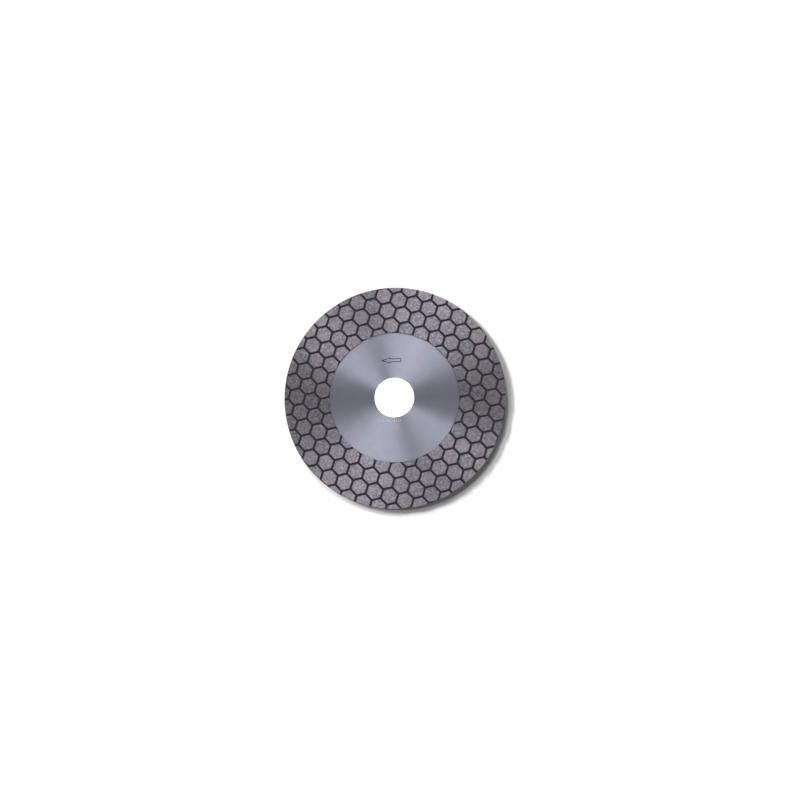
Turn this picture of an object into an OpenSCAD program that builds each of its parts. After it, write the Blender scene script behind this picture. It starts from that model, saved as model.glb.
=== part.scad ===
// Diamond grinding wheel for an angle grinder: a steel disc whose outer band carries a
// honeycomb of hexagonal diamond pads on both faces, with a diamond ring around its edge.
// The origin is the middle of the bore, on the mid-plane. +Z points out of the marked
// front face, and +Y points from the bore towards the rotation arrow.

/* [Wheel] */
// Outer diameter of the wheel
wheel_d = 125; // [110:1:180]
// Diameter of the bore that seats on the grinder's flange
bore_d = 22.23; // [16:0.01:24]
// Diameter of the bare steel centre, where the pads begin
centre_d = 73; // [61:1:80]
// Thickness of the steel disc under the pads
core_t = 1.2; // [0.8:0.1:3]
// Depth to which the bare centre is turned clean on each face
turned_depth = 0.05; // [0.02:0.01:0.1]
// Chamfer on both mouths of the bore
bore_chamfer = 0.25; // [0.05:0.05:0.3]

/* [Diamond pads] */
// Width of one hexagonal pad across its flats
pad_w = 7.9; // [6.4:0.1:9.5]
// Width of the groove between two pads
groove_w = 0.96; // [0.6:0.02:1.6]
// Height of a pad above the bond layer that it stands on
pad_h = 0.4; // [0.35:0.05:1]
// Edge break on the pads around the rim
rim_break = 0.3; // [0.1:0.05:0.3]
// Thickness of the plain bond layer under the pads, which is the floor of the grooves
bond_t = 0.1; // [0.05:0.05:0.3]
// Turn of the honeycomb about the axis, in degrees
honeycomb_turn = -16.4; // [-30:0.1:30]
// A pad is left out where the cut would leave less of it than this
least_left = 0.6; // [0.2:0.1:1]

/* [Rim ring] */
// Depth of the diamond ring around the edge of the steel disc, measured along a radius
ring_depth = 5; // [3:0.5:8]
// Number of round keys of the ring that lock into the edge of the disc
key_count = 24; // [12:1:36]
// Diameter of one key
key_d = 3; // [2:0.1:4]

/* [Marks on the steel] */
// Depth of the etched marks
mark_depth = 0.05; // [0.02:0.01:0.2]
// Width of an etched line
mark_w = 0.4; // [0.2:0.05:0.6]
// Distance from the axis to the middle of the rotation arrow
arrow_r = 21; // [18:0.1:26]
// Angle of the arrow's middle about the axis, in degrees
arrow_angle = 94.6; // [80:0.1:110]
// Lean of the arrow from level, in degrees
arrow_lean = 2; // [-10:0.5:10]
// Length of the arrow
arrow_l = 10.8; // [8:0.2:14]
// Length of its head
head_l = 4.8; // [3:0.2:6]
// Height of its head
head_h = 2.8; // [2.4:0.1:5]
// Height of its shaft
shaft_h = 1.7; // [1:0.1:2.2]
// Number of index ticks on the far side of the bore from the arrow
tick_count = 11; // [3:2:15]
// Distance from one index tick to the next
tick_step = 1.2; // [0.8:0.1:1.6]
// Distance from the axis to the row of ticks
tick_row_r = 13.1; // [12.8:0.1:18]
// How far the middle of the row lies to the right of the axis
tick_row_shift = -2.3; // [-4:0.1:4]
// Length of one tick
tick_l = 1; // [0.4:0.1:1.4]

/* [Hidden] */
$fn = 180;

wheel_r = wheel_d / 2;
centre_r = centre_d / 2;
core_r = wheel_r - ring_depth;
core_top = core_t / 2;
seat_top = core_top - turned_depth;   // the bare centre, which the grinder's flanges clamp
pad_floor = core_top + bond_t;
pad_top = pad_floor + pad_h;
pitch = pad_w + groove_w;     // between the middles of two neighbouring pads
corner_r = pad_w / sqrt(3);   // from a pad's middle to its corners
past = 1;                     // how far a cutting shape runs past the metal it cuts

// The honeycomb. A cell [i, j] is i steps along one row of pads and j steps along the row
// 60 degrees from it. One sixth of the wheel is worked out, and turned six times.
reach = ceil(wheel_r / pitch) + 1;
sector = [for (i = [1 : reach], j = [0 : reach]) [i, j]];

function middle(cell) = pitch * [cell[0] + cell[1] / 2, cell[1] * sqrt(3) / 2];

function corner(cell, k) = middle(cell) + corner_r * [cos(60 * k + 30), sin(60 * k + 30)];

// The distance from the axis to the edge between two corners, p and q
function edge_distance(p, q) =
    let (edge = norm(q - p), along = (q - p) / edge, foot = min(max(-p * along, 0), edge))
    norm(p + foot * along);

function nearest(cell) = min([for (k = [0 : 5]) edge_distance(corner(cell, k), corner(cell, k + 1))]);

function farthest(cell) = max([for (k = [0 : 5]) norm(corner(cell, k))]);

whole_cells = [for (c = sector) if (nearest(c) >= centre_r && farthest(c) <= wheel_r - rim_break) c];
centre_cells = [for (c = sector) if (nearest(c) < centre_r && farthest(c) > centre_r + least_left) c];
rim_cells = [
    for (c = sector)
        if (farthest(c) > wheel_r - rim_break && nearest(c) < wheel_r - least_left) c
];

// The squared distance of a cell from the axis, in pitches, which is a whole number
function ring(cell) = cell[0] * cell[0] + cell[0] * cell[1] + cell[1] * cell[1];

function rings_of(cells) = [
    for (r = [1 : 3 * reach * reach])
        if (len([for (c = cells) if (ring(c) == r) c]) > 0) r
];

// The cells of one group of rings, counted outwards from the axis, when the rings are
// shared evenly among a number of groups
function group_of(cells, group, groups) =
    let (rings = rings_of(cells))
    [
        for (k = [0 : len(rings) - 1])
            if (floor(k * groups / len(rings)) == group)
                for (c = cells)
                    if (ring(c) == rings[k]) c
    ];

module band(inner_r, outer_r, bottom, height) {
    translate([0, 0, bottom])
        difference() {
            cylinder(r = outer_r, h = height);
            translate([0, 0, -past]) cylinder(r = inner_r, h = height + 2 * past);
        }
}

module key_cylinders(bottom, height) {
    for (k = [0 : key_count - 1])
        rotate(360 * k / key_count) translate([core_r, 0, bottom]) cylinder(d = key_d, h = height);
}

// A line etched from p to q, with round ends
module etched_line(p, q) {
    translate([0, 0, seat_top - mark_depth])
        linear_extrude(mark_depth + past) {
            translate(p) circle(d = mark_w, $fn = 32);
            translate(p)
                rotate(atan2(q[1] - p[1], q[0] - p[0]))
                    translate([0, -mark_w / 2]) square([norm(q - p), mark_w]);
        }
}

// The outline of an arrow that points along -X, which is the way the wheel turns above
// the bore when it is seen from the front
module rotation_arrow() {
    tip = [-arrow_l / 2, 0];
    neck = tip[0] + head_l;
    tail = arrow_l / 2;
    points = [
        tip, [neck, head_h / 2], [neck, shaft_h / 2], [tail, shaft_h / 2],
        [tail, -shaft_h / 2], [neck, -shaft_h / 2], [neck, -head_h / 2]
    ];
    translate(arrow_r * [cos(arrow_angle), sin(arrow_angle)])
        rotate(arrow_lean)
            for (k = [0 : len(points) - 1])
                etched_line(points[k], points[(k + 1) % len(points)]);
}

module index_ticks() {
    for (k = [0 : tick_count - 1])
        translate([tick_row_shift + (k - (tick_count - 1) / 2) * tick_step, -tick_row_r])
            etched_line([0, -tick_l / 2], [0, tick_l / 2]);
}

// The bore, and on each side the chamfer of its mouth and the turned seat around it
module centre_cut() {
    mouth_r = bore_d / 2 + bore_chamfer;
    translate([0, 0, -core_top - past]) cylinder(d = bore_d, h = core_t + 2 * past);
    for (side = [0, 1])
        mirror([0, 0, side]) {
            translate([0, 0, seat_top - bore_chamfer])
                cylinder(r1 = bore_d / 2, r2 = mouth_r, h = bore_chamfer);
            translate([0, 0, seat_top]) cylinder(r = centre_r, h = past);
        }
}

module core_plate() {
    color("silver")
        difference() {
            translate([0, 0, -core_top]) cylinder(r = core_r, h = core_t);
            key_cylinders(-core_top - past, core_t + 2 * past);
            centre_cut();
            rotation_arrow();
            index_ticks();
        }
}

module rim_ring() {
    color("dimgray") {
        band(core_r, wheel_r, -core_top, core_t);
        key_cylinders(-core_top, core_t);
    }
}

module bond_layer() {
    color([0.18, 0.15, 0.18]) band(centre_r, wheel_r, core_top, bond_t);
}

// Hexagonal pads on the front face, at the cells given and their six turns
module hexagons(cells) {
    for (cell = cells)
        for (turn = [0 : 60 : 300])
            rotate(honeycomb_turn + turn)
                translate([middle(cell)[0], middle(cell)[1], pad_floor])
                    rotate(30) cylinder(r = corner_r, h = pad_h, $fn = 6);
}

module whole_pads(group) {
    color("rosybrown") hexagons(group_of(whole_cells, group, 3));
}

module centre_pads(group) {
    color("rosybrown")
        difference() {
            hexagons(group_of(centre_cells, group, 2));
            translate([0, 0, pad_floor - past]) cylinder(r = centre_r, h = pad_h + 2 * past);
        }
}

// The pads that the rim cuts, with the edge break around their outer side
module rim_pads(group) {
    color("rosybrown")
        intersection() {
            hexagons(group_of(rim_cells, group, 3));
            union() {
                cylinder(r = wheel_r, h = pad_top - rim_break);
                translate([0, 0, pad_top - rim_break])
                    cylinder(r1 = wheel_r, r2 = wheel_r - rim_break, h = rim_break);
            }
        }
}

module front_bond_layer() { bond_layer(); }
module front_centre_narrow_pads() { centre_pads(0); }
module front_centre_wide_pads() { centre_pads(1); }
module front_whole_inner_pads() { whole_pads(0); }
module front_whole_middle_pads() { whole_pads(1); }
module front_whole_outer_pads() { whole_pads(2); }
module front_rim_wide_pads() { rim_pads(0); }
module front_rim_middle_pads() { rim_pads(1); }
module front_rim_narrow_pads() { rim_pads(2); }

// The back face is the front one mirrored in the mid-plane, without the marks
module back() { mirror([0, 0, 1]) children(); }
module back_bond_layer() { back() front_bond_layer(); }
module back_centre_narrow_pads() { back() front_centre_narrow_pads(); }
module back_centre_wide_pads() { back() front_centre_wide_pads(); }
module back_whole_inner_pads() { back() front_whole_inner_pads(); }
module back_whole_middle_pads() { back() front_whole_middle_pads(); }
module back_whole_outer_pads() { back() front_whole_outer_pads(); }
module back_rim_wide_pads() { back() front_rim_wide_pads(); }
module back_rim_middle_pads() { back() front_rim_middle_pads(); }
module back_rim_narrow_pads() { back() front_rim_narrow_pads(); }

core_plate();
rim_ring();
front_bond_layer();
back_bond_layer();
front_centre_narrow_pads();
front_centre_wide_pads();
front_whole_inner_pads();
front_whole_middle_pads();
front_whole_outer_pads();
front_rim_wide_pads();
front_rim_middle_pads();
front_rim_narrow_pads();
back_centre_narrow_pads();
back_centre_wide_pads();
back_whole_inner_pads();
back_whole_middle_pads();
back_whole_outer_pads();
back_rim_wide_pads();
back_rim_middle_pads();
back_rim_narrow_pads();
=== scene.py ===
import math

import bmesh
import bpy
import numpy as np
from mathutils import Matrix, Vector, noise


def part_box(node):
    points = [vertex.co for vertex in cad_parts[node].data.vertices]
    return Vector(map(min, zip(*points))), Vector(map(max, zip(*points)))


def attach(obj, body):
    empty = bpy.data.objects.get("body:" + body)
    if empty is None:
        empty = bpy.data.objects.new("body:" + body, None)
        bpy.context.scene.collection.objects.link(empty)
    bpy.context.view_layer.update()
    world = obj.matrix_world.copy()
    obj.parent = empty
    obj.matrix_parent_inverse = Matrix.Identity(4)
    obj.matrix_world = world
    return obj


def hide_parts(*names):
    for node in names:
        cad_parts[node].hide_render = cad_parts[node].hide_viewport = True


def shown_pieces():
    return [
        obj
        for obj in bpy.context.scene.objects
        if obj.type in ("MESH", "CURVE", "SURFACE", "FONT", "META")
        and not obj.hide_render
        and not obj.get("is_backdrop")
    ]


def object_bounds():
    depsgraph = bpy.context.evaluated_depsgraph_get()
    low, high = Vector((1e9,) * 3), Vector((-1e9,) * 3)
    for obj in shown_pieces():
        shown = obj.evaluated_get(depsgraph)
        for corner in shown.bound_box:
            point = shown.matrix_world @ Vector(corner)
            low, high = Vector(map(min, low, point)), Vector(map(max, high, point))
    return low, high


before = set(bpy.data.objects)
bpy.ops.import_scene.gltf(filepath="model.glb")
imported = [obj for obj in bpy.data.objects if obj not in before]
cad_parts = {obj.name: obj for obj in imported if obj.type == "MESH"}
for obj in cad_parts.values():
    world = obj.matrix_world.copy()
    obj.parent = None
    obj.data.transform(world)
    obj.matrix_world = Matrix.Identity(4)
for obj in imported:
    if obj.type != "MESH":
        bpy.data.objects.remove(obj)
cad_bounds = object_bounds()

# ------------------------------------------------------------------------------------
# The camera
# It looks almost straight down on the marked face. The wheel leans a little, with its
# lower right side nearer to the lens.

MM = 0.001
lens_mm = 36
sensor_mm = 36
camera_distance = 451 * MM                      # from the lens to the plane of the wheel's middle
lean = math.radians(5.9)                        # between the wheel's axis and the line of sight
near_side = math.radians(-48.9)                 # which way the near side of the wheel lies
wheel_in_view = Vector((-3.22, 1.50, 0)) * MM   # the wheel's middle, from the middle of the view

across = Vector((math.cos(near_side), math.sin(near_side), 0))
hinge = Vector((-math.sin(near_side), math.cos(near_side), 0))


def leaned(v):
    """A direction of the level wheel, as the camera sees it."""
    dipped = math.cos(lean) * across + math.sin(lean) * Vector((0, 0, 1))
    return v.dot(across) * dipped + v.dot(hinge) * hinge


wheel_x = leaned(Vector((1, 0, 0)))
wheel_y = leaned(Vector((0, 1, 0)))
wheel_turn = Matrix((wheel_x, wheel_y, wheel_x.cross(wheel_y)))
camera_data = bpy.data.cameras.new("camera")
camera_data.sensor_width = sensor_mm
camera_data.lens = lens_mm
camera_data.clip_start = 10 * MM
camera = bpy.data.objects.new("camera", camera_data)
bpy.context.scene.collection.objects.link(camera)
camera_place = wheel_turn @ (Vector((0, 0, camera_distance)) - wheel_in_view)
camera.matrix_world = Matrix.Translation(camera_place) @ wheel_turn.to_4x4()
bpy.context.scene.camera = camera

# ------------------------------------------------------------------------------------
# The steel disc
# One stamped blank of steel. Its bare centre is turned clean in a lathe after the pads
# are pressed on, which leaves fine rings round the bore. The marks are etched.

steel_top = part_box("core_plate")[1][2]
turned_off = 0.05 * MM          # off each face of the bare centre
seat_top = steel_top - turned_off
chamfer_end = 11.6 * MM         # just past the chamfer of the bore, and short of any mark
cool_steel = (0.358, 0.378, 0.460, 1)
warm_steel = (0.414, 0.402, 0.492, 1)
blue_stain = (0.362, 0.432, 0.486, 1)
ring_grey = (0.33, 0.335, 0.40, 1)
fresh_etch = (0.035, 0.020, 0.032, 1)
worn_etch = (0.16, 0.12, 0.15, 1)
bright_tick = (0.92, 0.93, 0.98, 1)
worn_tick = (0.50, 0.51, 0.57, 1)


def node(tree, kind, inputs=None, **settings):
    """Adds a shader node, with its inputs given as values or as other nodes' sockets."""
    made = tree.nodes.new("ShaderNode" + kind)
    for name, value in settings.items():
        setattr(made, name, value)
    for name, value in (inputs or {}).items():
        if isinstance(value, bpy.types.NodeSocket):
            tree.links.new(value, made.inputs[name])
        else:
            made.inputs[name].default_value = value
    return made


def calc(tree, operation, a, b=0.0, c=0.0):
    """One step of arithmetic on values or sockets."""
    return node(tree, "Math", {0: a, 1: b, 2: c}, operation=operation).outputs[0]


def span(tree, value, low, high, to_low=0.0, to_high=1.0):
    """value mapped smoothly from low..high to to_low..to_high."""
    places = {"Value": value, "From Min": low, "From Max": high, "To Min": to_low, "To Max": to_high}
    return node(tree, "MapRange", places, interpolation_type="SMOOTHSTEP").outputs[0]


def mixed(tree, share, a, b):
    """Colours a and b, mixed by a share from 0 to 1."""
    made = node(tree, "Mix", data_type="RGBA")
    for socket, value in ((made.inputs[0], share), (made.inputs[6], a), (made.inputs[7], b)):
        if isinstance(value, bpy.types.NodeSocket):
            tree.links.new(value, socket)
        else:
            socket.default_value = value
    return made.outputs[2]


def grain(tree, where, size, detail=2.0, dimensions="3D"):
    """Noise from 0 to 1 whose lumps are about size across."""
    made = node(tree, "TexNoise", {"Scale": 1 / size, "Detail": detail}, noise_dimensions=dimensions)
    tree.links.new(where, made.inputs["W" if dimensions == "1D" else "Vector"])
    return made.outputs[0]


def wheel_material(name, anisotropy=0.0):
    """A material whose grain, if it has any, runs round the wheel's axis. It comes with its
    tree and shader, a point's place on the wheel, that place's parts and its radius."""
    material = bpy.data.materials.new(name)
    material.use_nodes = True
    tree = material.node_tree
    shader = tree.nodes["Principled BSDF"]
    shader.inputs["Anisotropic"].default_value = anisotropy
    place = node(tree, "TexCoord").outputs["Object"]
    parts = node(tree, "SeparateXYZ", {0: place})
    flat = node(tree, "CombineXYZ", {0: parts.outputs[0], 1: parts.outputs[1]}).outputs[0]
    radius = node(tree, "VectorMath", {0: flat}, operation="LENGTH").outputs["Value"]
    outward = node(tree, "VectorMath", {0: flat}, operation="NORMALIZE").outputs[0]
    tree.links.new(outward, shader.inputs["Tangent"])
    return material, tree, shader, place, parts, radius


steel, tree, shader, place, parts, radius = wheel_material("turned_steel", 0.92)
rings = grain(tree, radius, 0.35 * MM, 4, "1D")
wide_rings = grain(tree, radius, 3 * MM, 2, "1D")
clouds = grain(tree, place, 8 * MM, 3)
elsewhere = node(tree, "VectorMath", {0: place, 1: (0.05, 0.02, 0.07)}, operation="ADD").outputs[0]
stain = grain(tree, elsewhere, 5 * MM, 2)
specks = grain(tree, place, 0.5 * MM, 2)

# The marks: whatever lies below the front of the bare centre, past the bore's chamfer.
# The arrow is on the +Y side of the bore, and the ticks are on the other.
front = calc(tree, "GREATER_THAN", parts.outputs[2], 0)
from_middle = calc(tree, "ABSOLUTE", parts.outputs[2])
below_seat = span(tree, from_middle, seat_top - 0.04 * MM, seat_top - 0.01 * MM, 1, 0)
past_chamfer = calc(tree, "GREATER_THAN", radius, chamfer_end)
etched = calc(tree, "MULTIPLY", calc(tree, "MULTIPLY", below_seat, past_chamfer), front)
arrow_side = calc(tree, "GREATER_THAN", parts.outputs[1], 0)

tone = mixed(tree, span(tree, clouds, 0.3, 0.7), cool_steel, warm_steel)
tone = mixed(tree, span(tree, stain, 0.5, 0.75, 0, 0.5), tone, blue_stain)
tone = mixed(tree, span(tree, rings, 0.3, 0.7, 0, 0.2), tone, ring_grey)
wear = grain(tree, place, 2.2 * MM, 1)
arrow_tone = mixed(tree, span(tree, wear, 0.4, 0.7), fresh_etch, worn_etch)
tick_tone = mixed(tree, span(tree, wear, 0.35, 0.6), bright_tick, worn_tick)
mark_tone = mixed(tree, arrow_side, tick_tone, arrow_tone)
tree.links.new(mixed(tree, etched, tone, mark_tone), shader.inputs["Base Color"])
shader.inputs["Metallic"].default_value = 1.0
rough = calc(tree, "ADD", span(tree, wide_rings, 0.3, 0.7, 0.42, 0.45), calc(tree, "MULTIPLY", clouds, 0.06))
tree.links.new(calc(tree, "ADD", rough, calc(tree, "MULTIPLY", etched, 0.3)), shader.inputs["Roughness"])
height = calc(tree, "ADD", rings, calc(tree, "MULTIPLY", specks, 0.3))
bump = node(tree, "Bump", {"Strength": 0.12, "Distance": 0.003 * MM, "Height": height})
tree.links.new(bump.outputs[0], shader.inputs["Normal"])
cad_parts["core_plate"].data.materials.clear()
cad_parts["core_plate"].data.materials.append(steel)

# ------------------------------------------------------------------------------------
# The rim ring
# Metal powder and diamond sintered round the edge of the disc, then dressed on its
# outer side with a stone. It shows only between the two bond layers.

rim_r = 0.5 * (cad_bounds[1][0] - cad_bounds[0][0])
set_back = 0.2 * MM             # how far the ring is cut back for the dressed wall
grit_reach = 0.03 * MM          # how far crystals stand out of the dressed bond
score_depth = 0.012 * MM
rim_crystals = 480
crystal_small, crystal_large = 0.10 * MM, 0.19 * MM     # from its middle to a corner
weld = 0.001 * MM               # points of the CAD nodes that lie closer are one
bond_dark = (0.20, 0.18, 0.20, 1)
bond_light = (0.33, 0.31, 0.33, 1)
bond_glint = (0.50, 0.48, 0.46, 1)
grit_dark = (0.16, 0.16, 0.13, 1)
grit_light = (0.36, 0.34, 0.30, 1)

ring_bond, tree, shader, place, *_ = wheel_material("rim_bond")
coarse = grain(tree, place, 0.9 * MM, 3)
fine = grain(tree, place, 0.18 * MM, 2)
tone = mixed(tree, coarse, bond_dark, bond_light)
tone = mixed(tree, span(tree, fine, 0.55, 0.75), tone, bond_glint)
tree.links.new(tone, shader.inputs["Base Color"])
shader.inputs["Metallic"].default_value = 0.6
tree.links.new(span(tree, fine, 0.3, 0.7, 0.65, 0.45), shader.inputs["Roughness"])
bump = node(tree, "Bump", {"Strength": 0.7, "Distance": 0.05 * MM, "Height": fine})
tree.links.new(bump.outputs[0], shader.inputs["Normal"])

crystal, tree, shader, place, *_ = wheel_material("diamond_grit")
shader.inputs["Metallic"].default_value = 0.0
shader.inputs["IOR"].default_value = 2.0
shader.inputs["Roughness"].default_value = 0.35
tint = grain(tree, place, 1.0 * MM, 1)
tree.links.new(mixed(tree, tint, grit_dark, grit_light), shader.inputs["Base Color"])


def wheel_piece(name, points, faces, material, *extra_materials):
    """A mesh of its own that rides with the wheel."""
    mesh = bpy.data.meshes.new(name)
    mesh.from_pydata([tuple(p) for p in points], [], faces)
    mesh.update()
    for each in (material, *extra_materials):
        mesh.materials.append(each)
    made = bpy.data.objects.new(name, mesh)
    bpy.context.scene.collection.objects.link(made)
    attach(made, "root")
    return made


def lumps(points, size, seed):
    """Smooth noise from -1 to 1 at each point, in lumps about size across."""
    shift = Vector((seed * 17.3, seed * 5.1, seed * 29.7))
    return np.array([noise.noise(Vector(p) / size + shift) for p in points])


grit_corners = np.array([(1, 0, 0), (-1, 0, 0), (0, 1, 0), (0, -1, 0), (0, 0, 1), (0, 0, -1)], float)
grit_faces = [(0, 2, 4), (2, 1, 4), (1, 3, 4), (3, 0, 4), (2, 0, 5), (1, 2, 5), (3, 1, 5), (0, 3, 5)]


def grit_crystal(rng):
    """The corners of one blocky diamond crystal about its own middle, and how far they reach."""
    size = rng.uniform(crystal_small, crystal_large) * rng.uniform(0.8, 1.2, 3)
    turn = np.linalg.qr(rng.normal(size=(3, 3)))[0]
    turn[:, 0] *= np.sign(np.linalg.det(turn))
    return (grit_corners * size) @ turn.T, size.mean()


# The ring without its outer wall, and cut back a little to leave room for a dressed one
ring_shape = bmesh.new()
ring_shape.from_mesh(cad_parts["rim_ring"].data)
bmesh.ops.remove_doubles(ring_shape, verts=ring_shape.verts, dist=weld)
plain_wall = [f for f in ring_shape.faces if min(v.co.xy.length for v in f.verts) > rim_r - 0.05 * MM]
bmesh.ops.delete(ring_shape, geom=plain_wall, context="FACES")
cut_edges = [e for e in ring_shape.edges if e.is_boundary]
for corner in {v for e in cut_edges for v in e.verts}:
    corner.co.xy *= 1 - set_back / rim_r

# The dressed outer wall, a fine grid with shallow scores along the rim
rng = np.random.default_rng(3)
steps_round, rows = 1200, 9
ring_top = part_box("rim_ring")[1][2]
angles = np.linspace(0, 2 * np.pi, steps_round, endpoint=False)
heights = np.linspace(-ring_top, ring_top, rows)
wall = np.array([(rim_r * math.cos(a), rim_r * math.sin(a), z) for z in heights for a in angles])
scores = np.repeat(rng.uniform(0, 1, rows), steps_round) * score_depth
sunk = grit_reach + scores + score_depth * (1 + lumps(wall, 0.5 * MM, 21))
wall[:, :2] *= (1 - sunk / rim_r)[:, None]
wall_points = [ring_shape.verts.new(p) for p in wall]
for k in range(rows - 1):
    for j in range(steps_round):
        a, b = k * steps_round + j, k * steps_round + (j + 1) % steps_round
        ring_shape.faces.new([wall_points[n] for n in (a, b, b + steps_round, a + steps_round)])
for side in (-1, 1):
    open_edges = [e for e in ring_shape.edges if e.is_boundary and e.verts[0].co.z * side > 0]
    bmesh.ops.bridge_loops(ring_shape, edges=open_edges)
bmesh.ops.recalc_face_normals(ring_shape, faces=ring_shape.faces)
ring_shape.verts.index_update()
points = [v.co.copy() for v in ring_shape.verts]
faces = [[v.index for v in f.verts] for f in ring_shape.faces]
ring_shape.free()

# The crystals, each at an angle round the rim and a share of the way from its middle
crystals_from = len(faces)
for spot in rng.uniform((0, -0.9), (2 * np.pi, 0.9), (rim_crystals, 2)):
    body, size = grit_crystal(rng)
    reach = rim_r - size * 0.35
    body += (reach * math.cos(spot[0]), reach * math.sin(spot[0]), spot[1] * (ring_top - size))
    far = np.linalg.norm(body[:, :2], axis=1)
    body[:, :2] *= np.minimum(1, rim_r / far)[:, None]
    faces += [tuple(len(points) + k for k in face) for face in grit_faces]
    points += list(body)
ring = wheel_piece("dressed_rim", points, faces, ring_bond, crystal)
which = np.zeros(len(faces), int)
which[crystals_from:] = 1
ring.data.polygons.foreach_set("material_index", which)
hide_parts("rim_ring")

# ------------------------------------------------------------------------------------
# The bond layers
# A thin skin of plain bond on each face, pressed on with the pads. It is left as
# pressed in the grooves, where it is rough, and there it is painted near-black as
# painted shade, with specks of dust.

bond_low, bond_high = (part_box("front_bond_layer")[k][2] for k in (0, 1))
bare_r = min(v.co.xy.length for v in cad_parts["front_bond_layer"].data.vertices)
press_marks = 0.02 * MM         # how far its top is pressed in, on average
ragged_edge = 0.05 * MM         # how far its inner edge strays outward, on average
groove_shade_black = (0.010, 0.008, 0.013, 1)
groove_dust_and_shade = (0.036, 0.032, 0.044, 1)
ground_bond = (0.26, 0.24, 0.27, 1)

groove_floor, tree, shader, place, _, radius = wheel_material("groove_floor")
dust = grain(tree, place, 0.6 * MM, 3)
# Painted shade: the groove floor is near-black, with specks of dust
tone = mixed(tree, dust, groove_shade_black, groove_dust_and_shade)
at_rim = span(tree, radius, rim_r - 0.12 * MM, rim_r - 0.05 * MM)
at_centre = span(tree, radius, bare_r + 0.04 * MM, bare_r + 0.1 * MM, 1, 0)
tone = mixed(tree, calc(tree, "ADD", at_rim, at_centre), tone, ground_bond)
tree.links.new(tone, shader.inputs["Base Color"])
shader.inputs["Metallic"].default_value = 0.2
shader.inputs["Roughness"].default_value = 0.8
bump = node(tree, "Bump", {"Strength": 0.8, "Distance": 0.05 * MM, "Height": grain(tree, place, 0.2 * MM, 3)})
tree.links.new(bump.outputs[0], shader.inputs["Normal"])


def bond_layer(name, side):
    """The skin of one face: an annulus with a rough top, a ragged inner edge and closed sides."""
    round_steps, out_steps = 600, 46
    angle = np.linspace(0, 2 * np.pi, round_steps, endpoint=False)
    radii = np.linspace(bare_r, rim_r, out_steps)
    a, r = np.meshgrid(angle, radii)
    top = np.stack([r * np.cos(a), r * np.sin(a), np.full(r.shape, bond_high)], -1).reshape(-1, 3)
    top[:, 2] -= press_marks * (1 + lumps(top, 0.8 * MM, 1 + side))
    foot = top.copy().reshape(out_steps, round_steps, 3)[[-1, 0]]
    foot[..., 2] = bond_low
    top = top.reshape(out_steps, round_steps, 3)
    ragged = ragged_edge * (1 + lumps(top[0], 0.7 * MM, 3 + side))
    top[0, :, :2] *= (1 + ragged / bare_r)[:, None]
    loops = np.concatenate([top, foot])
    points = loops.reshape(-1, 3)
    points[:, 2] *= side
    faces = []
    for k in range(len(loops)):
        here, ahead = k * round_steps, (k + 1) % len(loops) * round_steps
        for j in range(round_steps):
            right = (j + 1) % round_steps
            faces.append((here + j, ahead + j, ahead + right, here + right)[::side])
    made = wheel_piece(name, points, faces, groove_floor)
    return made


front_bond = bond_layer("front_bond_skin", 1)
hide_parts("front_bond_layer")
back_bond = bond_layer("back_bond_skin", -1)
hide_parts("back_bond_layer")

# ------------------------------------------------------------------------------------
# The diamond pads
# Hexagons of metal powder and diamond, pressed on to the bond layer in one mould and
# sintered, then ground flat about the axis. Their corners are soft, their edges chipped.

pad_top = cad_bounds[1][2]
pad_floor = bond_high
edge_break = 0.3 * MM           # ground off the pads' upper corner along the rim
outline_points = 48
soft_corner = 0.32 * MM         # how far along the outline a corner is smoothed
edge_wander = 0.03 * MM         # how far the edge strays over a millimetre or so
edge_nicks = 0.012 * MM         # and how far over less
chip_reach = 0.22 * MM          # how far in from the edge a full chip bites
chip_drop = 0.07 * MM           # and how deep
grind_relief = 0.010 * MM       # the unevenness of the ground top
foot_sink = 0.03 * MM           # how far the foot goes into the bond layer
top_tilt = 0.0006               # the usual slope of a pad's top
most_chips = 2                  # on the edge of one pad
blue_bond = (0.244, 0.236, 0.322, 1)
pink_bond = (0.342, 0.263, 0.310, 1)
green_bond = (0.240, 0.315, 0.285, 1)
dull_patch = (0.165, 0.150, 0.175, 1)
pale_pad = (0.400, 0.360, 0.410, 1)
bright_patch = (0.45, 0.42, 0.46, 1)
powder_glint = (0.46, 0.43, 0.43, 1)
# The next colour is painted shade for the pads' walls in the grooves
painted_groove_shade = (0.02, 0.016, 0.024, 1)
rng = np.random.default_rng(7)

pad_bond, tree, shader, place, *_ = wheel_material("diamond_pad", 0.88)
pad_tone = node(tree, "Attribute", attribute_name="pad_tone").outputs["Fac"]
wall = node(tree, "Attribute", attribute_name="wall").outputs["Fac"]
patches = grain(tree, place, 1.5 * MM, 3)
mottle = grain(tree, place, 0.8 * MM, 3)
hue = calc(tree, "ADD", grain(tree, place, 2.2 * MM, 3), calc(tree, "MULTIPLY", pad_tone, 0.13))
powder = grain(tree, place, 0.16 * MM, 2)
tone = mixed(tree, span(tree, hue, 0.42, 0.71), blue_bond, pink_bond)
tone = mixed(tree, span(tree, mottle, 0.45, 0.7, 0, 0.7), tone, green_bond)
tone = mixed(tree, span(tree, patches, 0.38, 0.62, 0, 0.75), tone, dull_patch)
tone = mixed(tree, span(tree, pad_tone, 0, 1, 0, 0.24), tone, pale_pad)
tone = mixed(tree, span(tree, grain(tree, place, 1.3 * MM, 3), 0.48, 0.66, 0, 0.75), tone, bright_patch)
tone = mixed(tree, span(tree, powder, 0.58, 0.72, 0, 0.3), tone, powder_glint)
# Painted shade: the pads' walls darken to near-black towards their foot, by their wall share
tree.links.new(mixed(tree, wall, tone, painted_groove_shade), shader.inputs["Base Color"])
shader.inputs["Metallic"].default_value = 0.92
tree.links.new(span(tree, powder, 0.3, 0.7, 0.54, 0.46), shader.inputs["Roughness"])
height = calc(tree, "ADD", powder, calc(tree, "MULTIPLY", mottle, 0.8))
bump = node(tree, "Bump", {"Strength": 0.5, "Distance": 0.03 * MM, "Height": height})
tree.links.new(bump.outputs[0], shader.inputs["Normal"])


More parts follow.
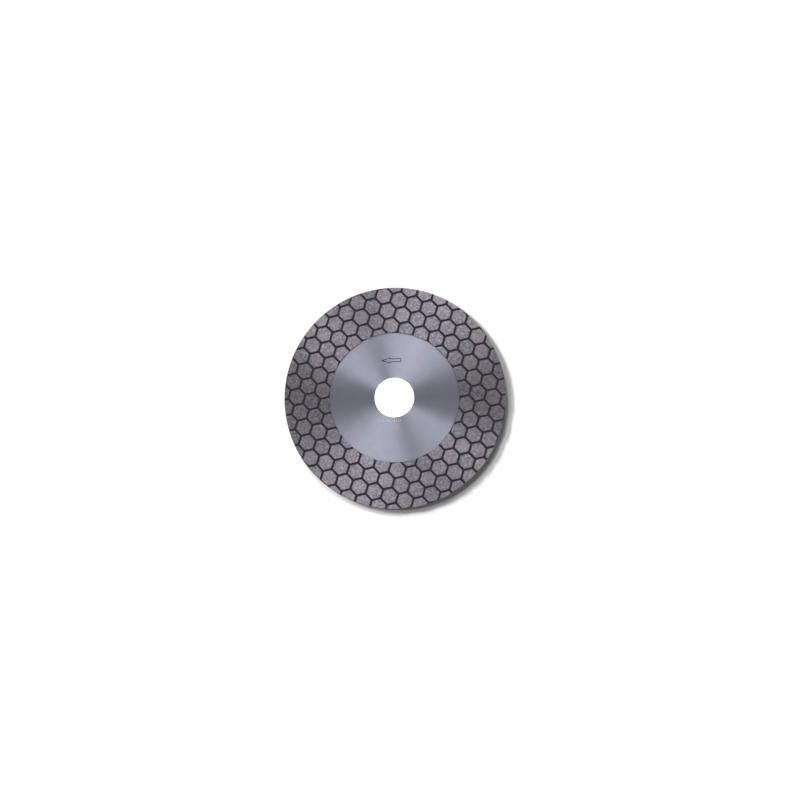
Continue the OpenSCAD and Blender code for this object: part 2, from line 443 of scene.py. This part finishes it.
def pad_outlines(node_name):
    """The outline of each pad of a CAD node, taken at the foot of its walls and softened."""
    shape = bmesh.new()
    shape.from_mesh(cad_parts[node_name].data)
    bmesh.ops.remove_doubles(shape, verts=shape.verts, dist=weld)
    seen, outlines = set(), []
    for start in shape.verts:
        if start in seen:
            continue
        island, waiting = [], [start]
        seen.add(start)
        while waiting:
            here = waiting.pop()
            island.append(here.co.copy())
            for edge in here.link_edges:
                there = edge.other_vert(here)
                if there not in seen:
                    seen.add(there)
                    waiting.append(there)
        foot = np.array([p[:2] for p in island if abs(abs(p[2]) - pad_floor) < 0.01 * MM])
        middle = foot.mean(0)
        order = np.argsort(np.arctan2(*(foot - middle).T[::-1]))
        outlines.append(soft_outline(foot[order]))
    shape.free()
    return outlines


def even_steps(corners, count):
    """count points at even steps round a closed outline."""
    closed = np.vstack([corners, corners[:1]])
    along = np.r_[0, np.cumsum(np.linalg.norm(np.diff(closed, axis=0), axis=1))]
    at = np.linspace(0, along[-1], count, endpoint=False)
    return np.stack([np.interp(at, along, closed[:, k]) for k in (0, 1)], -1), along[-1]


def soft_outline(corners):
    """The outline with its corners rounded, in outline_points even steps."""
    fine_points = 400
    fine, length = even_steps(corners, fine_points)
    reach = max(1, round(soft_corner / (length / fine_points)))
    for _ in range(2):
        fine = np.mean([np.roll(fine, k, axis=0) for k in range(-reach, reach + 1)], axis=0)
    return even_steps(fine, outline_points)[0]


# The loops of a pad, from its foot up over its worn edge: how far each lies in from the
# outline, and how deep under the top, with None for the foot. The loops after those lie
# on the top, each at its share of the way from the pad's middle to the outline.
pad_loops = [(-0.06 * MM, None), (0.0, 0.30 * MM), (0.01 * MM, 0.12 * MM), (0.035 * MM, 0.055 * MM)]
pad_loops += [(0.09 * MM, 0.022 * MM), (0.17 * MM, 0.008 * MM)]
pad_shares = [0.88, 0.76, 0.64, 0.51, 0.38, 0.25, 0.12]


def pad_points(outline, side):
    """One pad's points, loop by loop, and how much each belongs to the wall."""
    middle = outline.mean(0)
    inward = middle - outline
    inward /= np.linalg.norm(inward, axis=1)[:, None]
    foot_line = np.c_[outline, np.zeros(len(outline))]
    uneven = edge_wander * (1 + lumps(foot_line, 1.1 * MM, 5 + side))
    uneven += edge_nicks * lumps(foot_line, 0.4 * MM, 7 + side)
    chip = np.zeros(len(outline))
    for _ in range(rng.integers(0, most_chips + 1)):
        spot, width = outline[rng.integers(len(outline))], rng.uniform(0.25, 0.6) * MM
        ragged = 1 + 0.6 * lumps(foot_line, 0.35 * MM, rng.integers(40, 90))
        bite = np.exp(-(np.linalg.norm(outline - spot, axis=1) / width) ** 2)
        chip += rng.uniform(0.2, 1.0) ** 2 * ragged * bite
    lean_x, lean_y = rng.normal(0, top_tilt, 2)
    sunk = rng.uniform(0.012, 0.03) * MM
    points, walls = [], []

    def add_loop(flat, depth, wall):
        height = pad_top - sunk - depth + (flat - middle) @ np.array([lean_x, lean_y])
        limit = rim_r - np.clip(height - (pad_top - edge_break), 0, None)
        far = np.linalg.norm(flat, axis=1)
        flat = flat * np.minimum(1, limit / far)[:, None]
        points.append(np.c_[flat, height])
        # Walls cut clean at the centre and at the rim get little of the painted shade
        cut_clean = (far < bare_r + 0.25 * MM) | (far > rim_r - edge_break - 0.1 * MM)
        walls.append(np.where(cut_clean, 0.1, wall))

    # A loop's wall share, which sets its painted shade, grows with its depth under the top
    for inset, depth in pad_loops:
        flat = outline + inward * (inset + uneven + chip * chip_reach)[:, None]
        if depth is None:
            add_loop(flat, np.full(len(flat), pad_top - sunk - pad_floor + foot_sink), 1.0)
        else:
            worn = np.exp(-((depth - 0.02 * MM) / (0.1 * MM)) ** 2) * chip * chip_drop
            add_loop(flat, depth + worn, min(1.0, depth / (0.1 * MM)) ** 0.6)
    for share in pad_shares:
        flat = middle + (outline - middle) * share
        relief = grind_relief * lumps(np.c_[flat, np.zeros(len(flat))], 0.7 * MM, 9 + side)
        add_loop(flat, relief, 0.0)
    add_loop(middle[None], np.zeros(1), 0.0)
    points, walls = np.vstack(points), np.concatenate(walls)
    points[:, 2] = np.minimum(points[:, 2], pad_top) * side
    return points, walls


def pad_faces(first, side):
    """The faces between a pad's loops, a fan round its middle, and its hidden foot."""
    loops = len(pad_loops) + len(pad_shares)
    n = outline_points
    faces = [tuple(first + j for j in range(n))[::-side]]
    for k in range(loops - 1):
        for j in range(n):
            a, b = first + k * n + j, first + k * n + (j + 1) % n
            faces.append((a, b, b + n, a + n)[::side])
    last, tip = first + (loops - 1) * n, first + loops * n
    for j in range(n):
        faces.append((last + j, last + (j + 1) % n, tip)[::side])
    return faces


grit_area = 0.8 * MM * MM       # of pad for each crystal that shows


def grit_on(outline, side):
    """Crystals that stand out of a pad's top by a few hundredths, with worn flat tips."""
    middle = outline.mean(0)
    ahead = np.roll(outline, -1, axis=0)
    fans = 0.5 * np.abs(np.cross(outline - middle, ahead - middle))
    count = rng.poisson(fans.sum() / grit_area)
    chosen = rng.choice(len(outline), count, p=fans / fans.sum())
    u, v = np.sqrt(rng.random(count)), rng.random(count)
    edge_spots = outline[chosen] + v[:, None] * (ahead[chosen] - outline[chosen])
    spots = middle + u[:, None] * (edge_spots - middle) * 0.96
    made = []
    for spot in spots:
        if np.linalg.norm(spot) > rim_r - edge_break - 0.15 * MM:
            continue
        body, size = grit_crystal(rng)
        body[:, :2] += spot
        body[:, 2] += pad_top - 0.06 * MM - 0.25 * size
        body[:, 2] = np.minimum(body[:, 2], pad_top)
        body[:, 2] *= side
        made.append(body)
    return made


def pads_of(node_name, side):
    """The pads that stand for one CAD node, with their grit."""
    points, faces, tones, walls = [], [], [], []
    first = 0
    outlines = pad_outlines(node_name)
    for outline in outlines:
        body, wall = pad_points(outline, side)
        faces += pad_faces(first, side)
        points.append(body)
        walls.append(wall)
        tones.append(np.full(len(body), rng.random()))
        first += len(body)
    crystals_start = len(faces)
    for outline in outlines:
        for body in grit_on(outline, side):
            faces += [tuple(first + k for k in face)[::side] for face in grit_faces]
            points.append(body)
            walls.append(np.zeros(len(body)))
            tones.append(np.zeros(len(body)))
            first += len(body)
    made = wheel_piece(node_name.replace("_pads", "_hexagons"), np.vstack(points), faces, pad_bond, crystal)
    mesh = made.data
    for name, values in (("pad_tone", tones), ("wall", walls)):
        mesh.attributes.new(name, "FLOAT", "POINT").data.foreach_set("value", np.concatenate(values))
    which = np.zeros(len(mesh.polygons), int)
    which[crystals_start:] = 1
    mesh.polygons.foreach_set("material_index", which)
    mesh.polygons.foreach_set("use_smooth", which == 0)
    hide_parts(node_name)


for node_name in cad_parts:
    if node_name.endswith("_pads"):
        pads_of(node_name, 1 if node_name.startswith("front") else -1)

# ------------------------------------------------------------------------------------
# The floor and the lights
# A plain white table under soft lamps. Two pairs of boxes on opposite sides make the
# bright sectors on the turned steel, and low lamps throw the shadow to the lower right.

floor_reach = 3.0
paper_dark = (0.49, 0.49, 0.49, 1)
paper_light = (0.51, 0.51, 0.51, 1)
room_glow = (0.20, 0.20, 0.205, 1)
room_seen = (1, 1, 1, 1)
floor_corners = [(x * floor_reach, y * floor_reach, 0) for x, y in ((-1, -1), (1, -1), (1, 1), (-1, 1))]
floor_mesh = bpy.data.meshes.new("floor")
floor_mesh.from_pydata(floor_corners, [], [(0, 1, 2, 3)])
floor = bpy.data.objects.new("floor", floor_mesh)
floor.location.z = cad_bounds[0][2]
bpy.context.scene.collection.objects.link(floor)
floor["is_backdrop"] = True
paper = bpy.data.materials.new("white_table")
paper.use_nodes = True
tree = paper.node_tree
shader = tree.nodes["Principled BSDF"]
shader.inputs["Roughness"].default_value = 0.9
shader.inputs["Specular IOR Level"].default_value = 0.0
fibres = grain(tree, node(tree, "TexCoord").outputs["Object"], 2 * MM, 3)
tree.links.new(mixed(tree, fibres, paper_dark, paper_light), shader.inputs["Base Color"])
floor_mesh.materials.append(paper)


def collection_of(name, things):
    """The objects that a group of lamps lights."""
    made = bpy.data.collections.new(name)
    for each in things:
        made.objects.link(each)
    return made


on_floor = collection_of("lit_by_floor_lamps", [floor])
on_wheel = collection_of("lit_by_wheel_lamps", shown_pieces())
lamp_distance = 0.5


def lamp(name, kind, strength, azimuth, elevation, receivers, **settings):
    """A lamp that points at the wheel from an azimuth, counted from +X, and an elevation."""
    data = bpy.data.lights.new(name, kind)
    data.energy = strength
    for key, value in settings.items():
        setattr(data, key, value)
    made = bpy.data.objects.new(name, data)
    az, el = math.radians(azimuth), math.radians(elevation)
    out = Vector((math.cos(el) * math.cos(az), math.cos(el) * math.sin(az), math.sin(el)))
    made.location = out * lamp_distance
    made.rotation_euler = out.to_track_quat("Z", "Y").to_euler()
    bpy.context.scene.collection.objects.link(made)
    made.light_linking.receiver_collection = receivers


def soft_box(name, strength, azimuth, elevation, width, receivers):
    """A round diffuser, so far off that only its width as an angle matters. It takes degrees."""
    lamp(name, "SUN", strength, azimuth, elevation, receivers, angle=math.radians(width))


soft_box("key_box", 1.8, 71, 40, 56, on_wheel)
soft_box("fill_box", 0.65, 251, 40, 48, on_wheel)
soft_box("left_box", 0.80, 132, 40, 22, on_wheel)
soft_box("right_box", 0.5, 332, 40, 12, on_wheel)
soft_box("top_box", 0.24, 0, 88, 60, on_wheel)

# Low lamps that light the floor alone: azimuth, elevation, and share of the light on the
# floor beside the wheel. The lower one stands, the farther the wheel throws its shadow.
floor_light = 6.28              # W/m2
low_lamps = ((138, 17, 0.23), (150, 20, 0.33), (112, 25, 0.17), (100, 32, 0.08), (163, 32, 0.14))
for azimuth, elevation, share in low_lamps:
    strength = floor_light * share / math.sin(math.radians(elevation))
    soft_box(f"shadow_box_{azimuth}", strength, azimuth, elevation, 6, on_floor)

# A spot from straight above, a little wider than the bore, keeps the floor in it white
bore_spot_r = 14 * MM
bore_spot_power = 40            # W
bore_cone = 2 * math.atan(bore_spot_r / lamp_distance)
spot_shape = {"spot_size": bore_cone, "spot_blend": 0.1, "shadow_soft_size": 2 * MM}
lamp("bore_lamp", "SPOT", bore_spot_power, 0, 90, on_floor, **spot_shape)

# The room: white behind the wheel, and dimmer in what it adds to the light
world = bpy.data.worlds.new("studio")
world.use_nodes = True
tree = world.node_tree
seen = node(tree, "LightPath").outputs["Is Camera Ray"]
room = mixed(tree, seen, room_glow, room_seen)
tree.links.new(room, tree.nodes["Background"].inputs["Color"])
bpy.context.scene.world = world
bpy.context.scene.view_settings.view_transform = "Standard"
